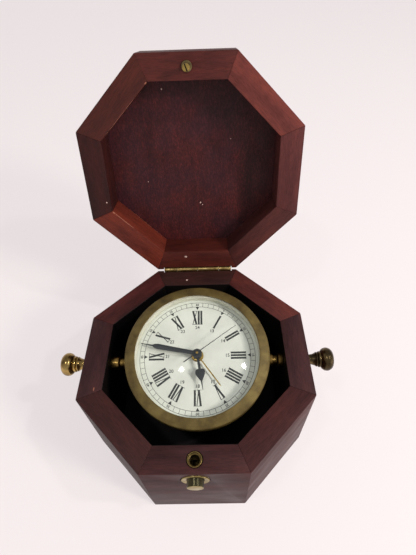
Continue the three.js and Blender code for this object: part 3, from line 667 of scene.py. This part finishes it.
def make_catch():
    low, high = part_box("catch_washer")
    root = (low + high) / 2
    turn = axes(X, LID_ALONG, LID_OUT)
    brass = turned_brass("catch_brass", turn, root, "#cbb168", "#a08848", "#665430", 0.3, 0.15, 0.7)
    # The washer's brass is darker than the pin's: partly aged tone, partly painted shade from the pin's head
    # above it.
    dull = turned_brass("washer_brass", turn, root, "#8d7c52", "#6d5e3b", "#433823", 0.4, 0.15, 0.6)
    # Painted shade: the floor of the slot in the pin's head is coloured near-black for the shade in it.
    painted_slot_shade = plain_finish("slot_floor_painted_shade", "#1b150c", "#120d07", 2, 0.2, 0.7, 0.01)
    fit(refined("catch_washer", 0.1), "catch_washer_turned", "lid", "bright_brass", dull, "catch_washer")
    pin = refined("catch_pin", 0.1)
    fit(pin, "catch_pin_turned", "lid", "bright_brass", brass, "catch_pin")
    tip = max(point.co.dot(LID_OUT) for point in pin.data.vertices)

    # Faces on the slot's floor take the painted shade.
    def on_slot_floor(face):
        depth = tip - face.center.dot(LID_OUT)
        return 0.6 * MM < depth < 1.1 * MM and face.normal.dot(LID_OUT) > 0.9

    second_finish(pin, painted_slot_shade, on_slot_floor)


def make_pivots():
    for hand, way, tones in (
        ("left", -1, ("#e0c47c", "#b0935a", "#57462a", 0.16)),
        ("right", 1, ("#84704a", "#554832", "#2c251c", 0.24)),
    ):
        axis = way * X
        centre = Vector((0, PIVOT.y, PIVOT.z))
        turn = axes(Y, axis.cross(Y), axis)
        brass = turned_brass(f"pivot_knob_brass_{hand}", turn, centre, *tones, 0.35)
        outline = [
            (0, 47.5), (1.8, 47.5), (1.8, 76.3), (3.9, 76.3), (3.9, 76.6), (3.6, 77.4), (3.45, 78.4),
            (3.5, 79.4), (3.7, 80.6), (4.1, 81.8), (4.7, 82.8), (5.0, 83.2), (5.0, 83.7), (4.3, 84.2),
            (5.2, 84.6), (5.5, 85.1), (5.55, 85.5), (5.4, 85.9), *arc(3.6, 90.4, 4.4, -68, 78, 22),
            (2.6, 94.75), (0, 94.8),
        ]
        knob = turned(outline, centre, axis, Y, 96, 0)
        fit(knob, f"pivot_knob_{hand}_turned", f"{hand}_knob", "aged_brass", brass, f"pivot_knob_{hand}")

        tones = ("#c3a25c", "#957842", "#574423", 0.27)
        orange = turned_brass(f"pivot_boss_brass_{hand}", turn, centre, *tones, 0.2)
        clock_centre = Vector((FACE.x, PIVOT.y, PIVOT.z))
        boss = [
            (0, 44.9), (4.5, 44.9), (4.5, 51.6), (4.1, 52), (3.4, 52), (3.4, 54.5), (3.1, 54.9),
            (2.15, 54.9), (2.15, 45.6), (0, 45.6),
        ]
        boss_piece = turned(boss, clock_centre, axis, Y, 64, 0.1)
        fit(boss_piece, f"pivot_boss_{hand}_turned", "clock", "aged_brass", orange, f"pivot_boss_{hand}")
        low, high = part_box(f"wall_bush_{hand}")
        head, wall = sorted((abs(low.x) / MM, abs(high.x) / MM))
        bush = [
            (3.6, wall), (3.6, 59.8), (4.7, 59.8), (4.7, head + 0.4), (4.3, head), (2.2, head), (2.2, wall),
        ]
        bush_piece = turned(bush, centre, axis, Y, 64, 0.1)
        fit(bush_piece, f"wall_bush_{hand}_turned", "box", "aged_brass", orange, f"wall_bush_{hand}")


# ---------------------------------------------------------------- the clock head


def make_case():
    brass = turned_brass("bezel_brass", FACE_TURN, FACE, "#806f3e", "#695930", "#4e4023", 0.45, 0.25, 0.5)
    bezel = [
        (47.67, 13.8), (47.67, 20.4), (47.45, 21.0), (46.97, 21.3), (44.2, 22.05), (41.5, 22.8),
        (41.1, 22.85), (40.82, 22.6), (40.82, 22.1), (43.8, 22.1), (44.95, 20.2), (44.95, 13.8),
    ]
    fit(turned_on_face(bezel, 160, 0.08), "bezel_turned", "clock", "aged_brass", brass, "bezel")

    drum = [
        (44.6, 20.2), (43.3, 20.2), (43.3, 13.2), (41.3, 13.2), (41.3, 12.4), (43.3, 12.4), (43.3, -15),
        (39.5, -15), (39.5, -16), (44.6, -16),
    ]
    case = turned_brass("drum_brass", FACE_TURN, FACE, "#a08542", "#7e6735", "#584626", 0.34, 0.4)
    fit(turned_on_face(drum, 128, 0.1), "clock_drum_turned", "clock", "aged_brass", case, "clock_drum")
    cover = [(44, -17.8), (44.6, -17.2), (44.6, -16.3), (29, -16.3), (29, -17.8)]
    cover_piece = turned_on_face(cover, 128, 0.1)
    fit(cover_piece, "back_cover_turned", "clock", "aged_brass", case, "back_cover")

    width, rise = 40.5, 7.7
    sphere = (width**2 + rise**2) / (2 * rise)

    def dome(flange):
        radii = [width * step / 20 for step in range(21)]
        return [(r, flange + rise - sphere + math.sqrt(sphere**2 - r**2)) for r in radii]

    glass = [*dome(20.5), (43.4, 20.5), (43.4, 21.8), *reversed(dome(21.8))]
    crystal = smooth(turned_on_face(glass, 128, 0), 10)
    fit(crystal, "crystal_domed", "clock", "glass", crystal_glass("clear_crystal"), "crystal")


def make_dial():
    enamel = plain_finish("dial_enamel", "#d9dfd3", "#ced4c8", 16, 0.25, 0.42, 0.01)
    dial = turned_on_face([(43, 13.5), (43, DIAL_TOP), (3.4, DIAL_TOP), (3.4, 13.5)], 128, 0)
    fit(dial, "dial_plate", "clock", "white_enamel", enamel, "dial")
    cream = plain_finish("surround_enamel", "#d8d9c8", "#cccdb9", 10, 0.25, 0.5, 0.01)
    ring = turned_on_face([(43, 14.4), (43, 20.2), (40.8, 20.2), (40.8, 14.4)], 128, 0.05)
    fit(ring, "surround_ring_plate", "clock", "white_enamel", cream, "surround_ring")
    brass = turned_brass("nut_brass", FACE_TURN, FACE, "#e6c877", "#c4a355", "#8a6f38", 0.35, 0.1)
    nut = [(4.1, 14.4), (4.1, 15.0), (3.6, 15.6), (3.35, 15.6), (3.35, 14.4)]
    nut_piece = turned_on_face(nut, 64, 0)
    fit(nut_piece, "dial_nut_turned", "clock", "bright_brass", brass, "dial_nut")


def on_flat(x, y):
    return Vector((x, y, 0)) * MM


def stroke(start, end, width):
    """One printed stroke between two points of the flat sheet, in mm."""
    deselect()
    run = Vector(end) - Vector(start)
    middle = (Vector(end) + Vector(start)) / 2
    turn = math.atan2(run.y, run.x)
    bpy.ops.mesh.primitive_plane_add(size=1, location=on_flat(*middle), rotation=(0, 0, turn))
    bpy.context.object.scale = (run.length * MM, width * MM, 1)
    return settle(bpy.context.object)


def ring_line(radius, width):
    """A printed circle: its outer edge, extruded and drawn in by the line's width."""
    deselect()
    bpy.ops.mesh.primitive_circle_add(vertices=180, radius=(radius + width / 2) * MM)
    bpy.ops.object.mode_set(mode="EDIT")
    bpy.ops.mesh.select_all(action="SELECT")
    bpy.ops.mesh.extrude_region_move()
    inward = (radius - width / 2) / (radius + width / 2)
    bpy.ops.transform.resize(value=(inward, inward, 1), center_override=(0, 0, 0))
    bpy.ops.object.mode_set(mode="OBJECT")
    return bpy.context.object


def figures(text, radius, degrees, size, upright):
    """Small printed figures, as a flat mesh."""
    deselect()
    turn = math.radians(90 - degrees)
    spot = on_flat(radius * math.cos(turn), radius * math.sin(turn))
    lean = 0 if upright else turn - math.pi / 2
    bpy.ops.object.text_add(location=spot, rotation=(0, 0, lean))
    piece = bpy.context.object
    piece.data.body = text
    piece.data.size = size * MM
    piece.data.offset = 0.05 * MM
    piece.data.align_x = "CENTER"
    piece.data.align_y = "CENTER"
    piece.data.resolution_u = 3
    bpy.ops.object.convert(target="MESH")
    return settle(bpy.context.object)


# Roman letters as strokes: start, end and width in mm, in a cell as wide as the first number, ten high.
THICK, THIN = 1.3, 0.5
LETTERS = {
    "I": (1.85, (((0, -5), (0, 5), THICK),)),
    "V": (3.5, (((-1.15, 5), (0.1, -5), THICK), ((1.35, 5), (0.25, -5), THIN))),
    "X": (3.7, (((-1.2, 5), (1.2, -5), THICK), ((1.35, 5), (-1.35, -5), THIN))),
}
HOURS = ("XII", "I", "II", "III", "IIII", "V", "VI", "VII", "VIII", "IX", "X", "XI")


def numeral(text, degrees):
    """One hour's numeral, its feet towards the centre."""
    turn = Matrix.Rotation(-math.radians(degrees), 2)
    reach = -sum(LETTERS[letter][0] for letter in text) / 2
    made = []
    for letter in text:
        width, strokes = LETTERS[letter]
        centre = reach + width / 2
        for start, end, thickness in strokes:
            ends = [turn @ Vector((centre + point[0], NUMERAL_RADIUS + point[1])) for point in (start, end)]
            made.append(stroke(*ends, thickness))
        edge = width / 2 - 0.12
        for level in (-5, 5):
            ends = [turn @ Vector((centre + side * edge, NUMERAL_RADIUS + level)) for side in (-1, 1)]
            made.append(stroke(*ends, 0.3))
        reach += width
    return made


def arrowhead(degrees):
    """The small triangle that points in from the minute track at each hour."""
    deselect()
    turn = math.radians(90 - degrees)
    spot = on_flat(35.0 * math.cos(turn), 35.0 * math.sin(turn))
    bpy.ops.mesh.primitive_circle_add(
        vertices=3, radius=1.5 * MM, fill_type="NGON", location=spot, rotation=(0, 0, turn + math.pi / 2)
    )
    return settle(bpy.context.object)


def make_print():
    """Everything printed on the dial, drawn flat and then laid on it."""
    track_outer, track_inner = 38.76, 35.71
    marks = [ring_line(track_outer, 0.26), ring_line(track_inner, 0.26)]
    for minute in range(60):
        turn = math.radians(6 * minute)
        ray = Vector((math.sin(turn), math.cos(turn)))
        if minute % 5:
            marks.append(stroke(ray * 35.75, ray * 38.7, 0.24))
    for hour, text in enumerate(HOURS):
        degrees = 30 * hour
        marks.extend(numeral(text, degrees))
        marks.append(arrowhead(degrees))
        marks.append(figures(str(5 * hour or 60), 37.25, degrees, 2.3, False))
        marks.append(figures(str(12 + (hour or 12)), 20.1, degrees, 3.1, True))
    deselect()
    for mark in marks:
        mark.select_set(True)
    bpy.context.view_layer.objects.active = marks[0]
    bpy.ops.object.join()
    sheet = bpy.context.object
    place = FACE_TURN.to_4x4()
    place.translation = FACE + (DIAL_TOP + 0.03) * MM * FACE_OUT
    sheet.matrix_world = place
    settle(sheet)
    ink = plain_finish("printed_ink", "#2b302f", "#242928", 4, 0.2, 0.5, 0.005)
    fit(sheet, "dial_print", "clock", "black_enamel", ink)


def make_hands():
    black = plain_finish("hand_enamel", "#20272a", "#191f21", 5, 0.2, 0.42, 0.01)
    gold = rolled_brass("alarm_hand_brass", "#c9b06c", "#a98f4c", "#8a7238", 0.3)
    for hand, finish, slot in (
        ("hour", black, "black_enamel"),
        ("minute", black, "black_enamel"),
        ("seconds", black, "black_enamel"),
        ("alarm", gold, "bright_brass"),
    ):
        piece = refined(f"{hand}_hand", 0.03)
        fit(piece, f"{hand}_hand_blade", f"{hand}_arbor", slot, finish, f"{hand}_hand")


def make_hand_cap():
    """The brass rivet that shows at the middle of the seconds hand."""
    brass = rolled_brass("rivet_brass", "#c9a860", "#a3823f", "#7a602f", 0.3)
    rivet = [(0, 22.0), (0.85, 22.0), (0.85, 22.2), (0.6, 22.38), (0.3, 22.45), (0, 22.47)]
    rivet_piece = turned_on_face(rivet, 32, 0)
    fit(rivet_piece, "seconds_hand_rivet", "seconds_arbor", "bright_brass", brass)


def make_movement():
    black = plain_finish("moulded_black_plastic", "#26282b", "#1d1f21", 8, 0.3, 0.5, 0.04)
    white = plain_finish("moulded_white_plastic", "#dcdcd4", "#cfcfc6", 5, 0.3, 0.35, 0.02)
    sleeve = plain_finish("battery_sleeve", "#35608d", "#294f78", 9, 0.4, 0.3, 0.01, coat_weight=0.3)
    for node in ("movement", "time_set_knob", "alarm_set_knob"):
        refinish(node, black)
    refinish("alarm_switch", white)
    refinish("battery", sleeve)


# ---------------------------------------------------------------- the studio


def lamp(place, aim, size, watts, tint="#ffffff"):
    """A round soft lamp at a place, turned to its aim, in metres and watts."""
    turn = (Vector(aim) - Vector(place)).to_track_quat("-Z", "Y").to_euler()
    bpy.ops.object.light_add(type="AREA", location=place, rotation=turn)
    light = bpy.context.object
    light.data.shape = "DISK"
    light.data.size = size
    light.data.energy = watts
    light.data.color = colour(tint)[:3]
    return light


def make_floor():
    """A pale, partly self-lit paper floor, so that the shadows on it stay faint."""
    deselect()
    bpy.ops.mesh.primitive_plane_add(size=8, location=(0, 0, 0))
    table = bpy.context.object
    table.name = "studio_floor"
    paper, tree, shader = blank("seamless_paper", roughness=0.9)
    shader.inputs["Base Color"].default_value = colour("#8c8686")
    shader.inputs["Emission Color"].default_value = colour("#f8f0f1")
    shader.inputs["Emission Strength"].default_value = 0.7
    table.data.materials.append(paper)


def make_air():
    """Light from all round, brighter from the level than from above."""
    world = bpy.data.worlds.new("studio_air")
    bpy.context.scene.world = world
    world.use_nodes = True
    tree = world.node_tree
    air = tree.nodes["Background"]
    place = add(tree, "ShaderNodeTexCoord").outputs["Generated"]
    sky = add(tree, "ShaderNodeSeparateXYZ", {}, {0: place})
    level, above = (0.62, 0.59, 0.59, 1), (0.34, 0.33, 0.33, 1)
    tone = ramp(tree, sky.outputs["Z"], (0.0, level), (1.0, above))
    tree.links.new(tone, air.inputs["Color"])
    air.inputs["Strength"].default_value = 1.0


def make_lamps():
    """Two small lamps that show in the crystal, a key lamp kept out of reflections, and a low fill."""
    clock, box = Vector((0, 0, 0.07)), Vector((0, 0.1, 0.14))
    lamp((0.547, -0.113, 0.818), clock, 0.05, 2.1)
    lamp((-0.234, -0.196, 0.943), clock, 0.055, 0.9)
    key = lamp((0.94, -0.5, 0.81), box, 0.26, 13, "#fff6f2")
    key.visible_glossy = False
    lamp((1.1, -0.55, 0.14), clock, 0.5, 2.8, "#fff8f6")


def make_camera():
    """Held above and in front of the box, looking down on the dial and into the lid."""
    bpy.ops.object.camera_add(
        location=(0.013791, -0.136017, 0.313853),
        rotation=[math.radians(turn) for turn in (40.72, 1.614, -0.449)],
    )
    camera = bpy.context.object
    camera.data.lens = 25.56
    camera.data.sensor_width = 36
    camera.data.clip_start = 0.01
    bpy.context.scene.camera = camera
    bpy.context.scene.view_settings.view_transform = "Standard"


deselect()
make_box()
make_hinge()
make_steelwork()
make_latch()
make_catch()
make_pivots()
make_case()
make_dial()
make_print()
make_hands()
make_hand_cap()
make_movement()
make_floor()
make_air()
make_lamps()
make_camera()
